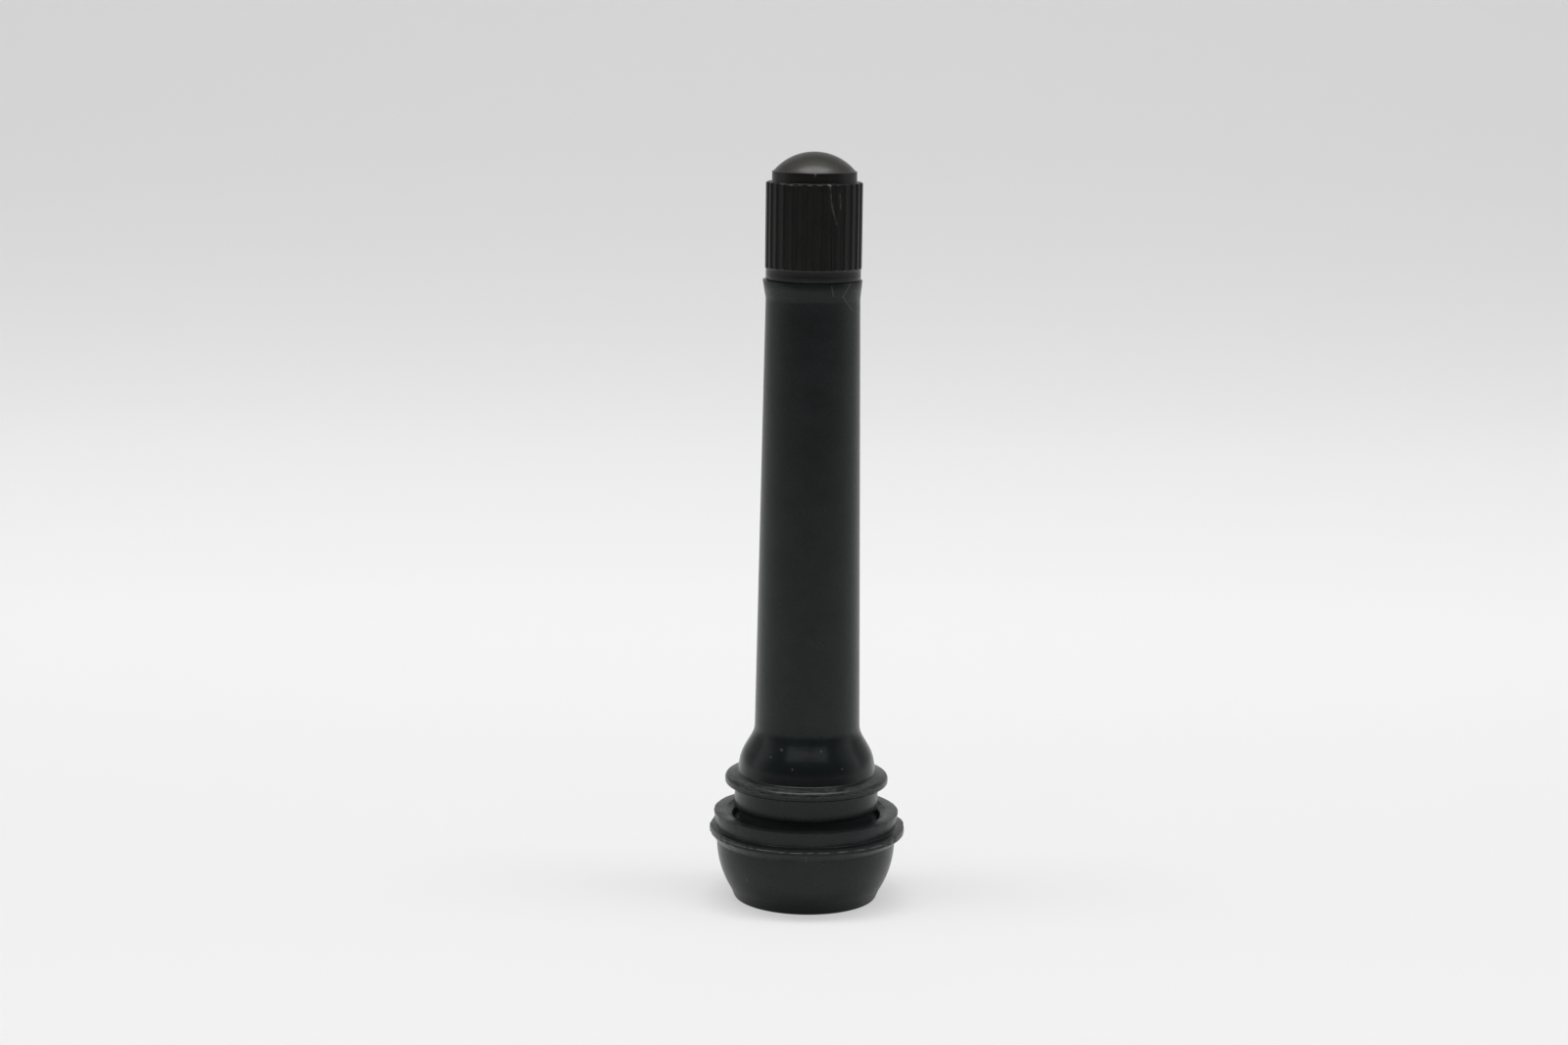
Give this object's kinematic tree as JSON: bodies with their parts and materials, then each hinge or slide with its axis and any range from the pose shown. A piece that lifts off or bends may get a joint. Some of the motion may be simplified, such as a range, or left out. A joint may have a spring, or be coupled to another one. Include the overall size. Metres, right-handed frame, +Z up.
{
  "type": "tyre valve",
  "caption": "Long tubeless snap-in tyre valve: black moulded rubber body on a brass stem, fluted screw cap, and a spring-loaded valve core inside.",
  "frame": {"origin": "centre of the foot ring, on the surface that the valve stands on", "axes": "+Z up along the stem, towards the cap; the part is turned about Z, so X and Y are free"},
  "size_m": [0.0198, 0.0198, 0.0769],
  "materials": {
    "moulded_rubber": "moulded, satin, blue-black",
    "seal_rubber": "matte black",
    "gasket_rubber": "smooth red",
    "cap_plastic": "moulded, satin black",
    "turned_brass": "turned",
    "spring_steel": "drawn wire"
  },
  "bodies": {
    "stem": {"rubber_body": "moulded_rubber", "brass_stem": "turned_brass"},
    "cap_washer": {"cap_seal": "seal_rubber"},
    "cap": {"cap_shell": "cap_plastic"},
    "core": {"core_barrel": "turned_brass", "barrel_gasket": "gasket_rubber", "core_spring": "spring_steel"},
    "core_screw": {"core_plug": "turned_brass"},
    "pin": {"core_pin": "turned_brass", "plunger_cup": "turned_brass", "plunger_seal": "seal_rubber"}
  },
  "joints": [
    {"name": "cap_lift", "type": "slide", "parent": "stem", "child": "cap_washer", "axis": [0, 0, 1], "range_m": [0, 0.0097]},
    {"name": "cap_turn", "type": "hinge", "parent": "cap_washer", "child": "cap", "pos_m": [0, 0, 0.07], "axis": [0, 0, 1], "range_deg": [0, 4400]},
    {"name": "core_lift", "type": "slide", "parent": "stem", "child": "core", "axis": [0, 0, 1], "range_m": [0, 0.00141]},
    {"name": "core_turn", "type": "hinge", "parent": "core", "child": "core_screw", "pos_m": [0, 0, 0.069], "axis": [0, 0, 1], "range_deg": [0, 720]},
    {"name": "pin_press", "type": "slide", "parent": "core", "child": "pin", "axis": [0, 0, -1], "range_m": [0, 0.0012], "stiffness_N_per_m": 1200, "deforming": ["core_spring"]}
  ],
  "couplings": [
    {"joint": "cap_turn", "follows": "cap_lift", "rad_per_m": 7913.3},
    {"joint": "core_turn", "follows": "core_lift", "rad_per_m": 8904.7}
  ]
}
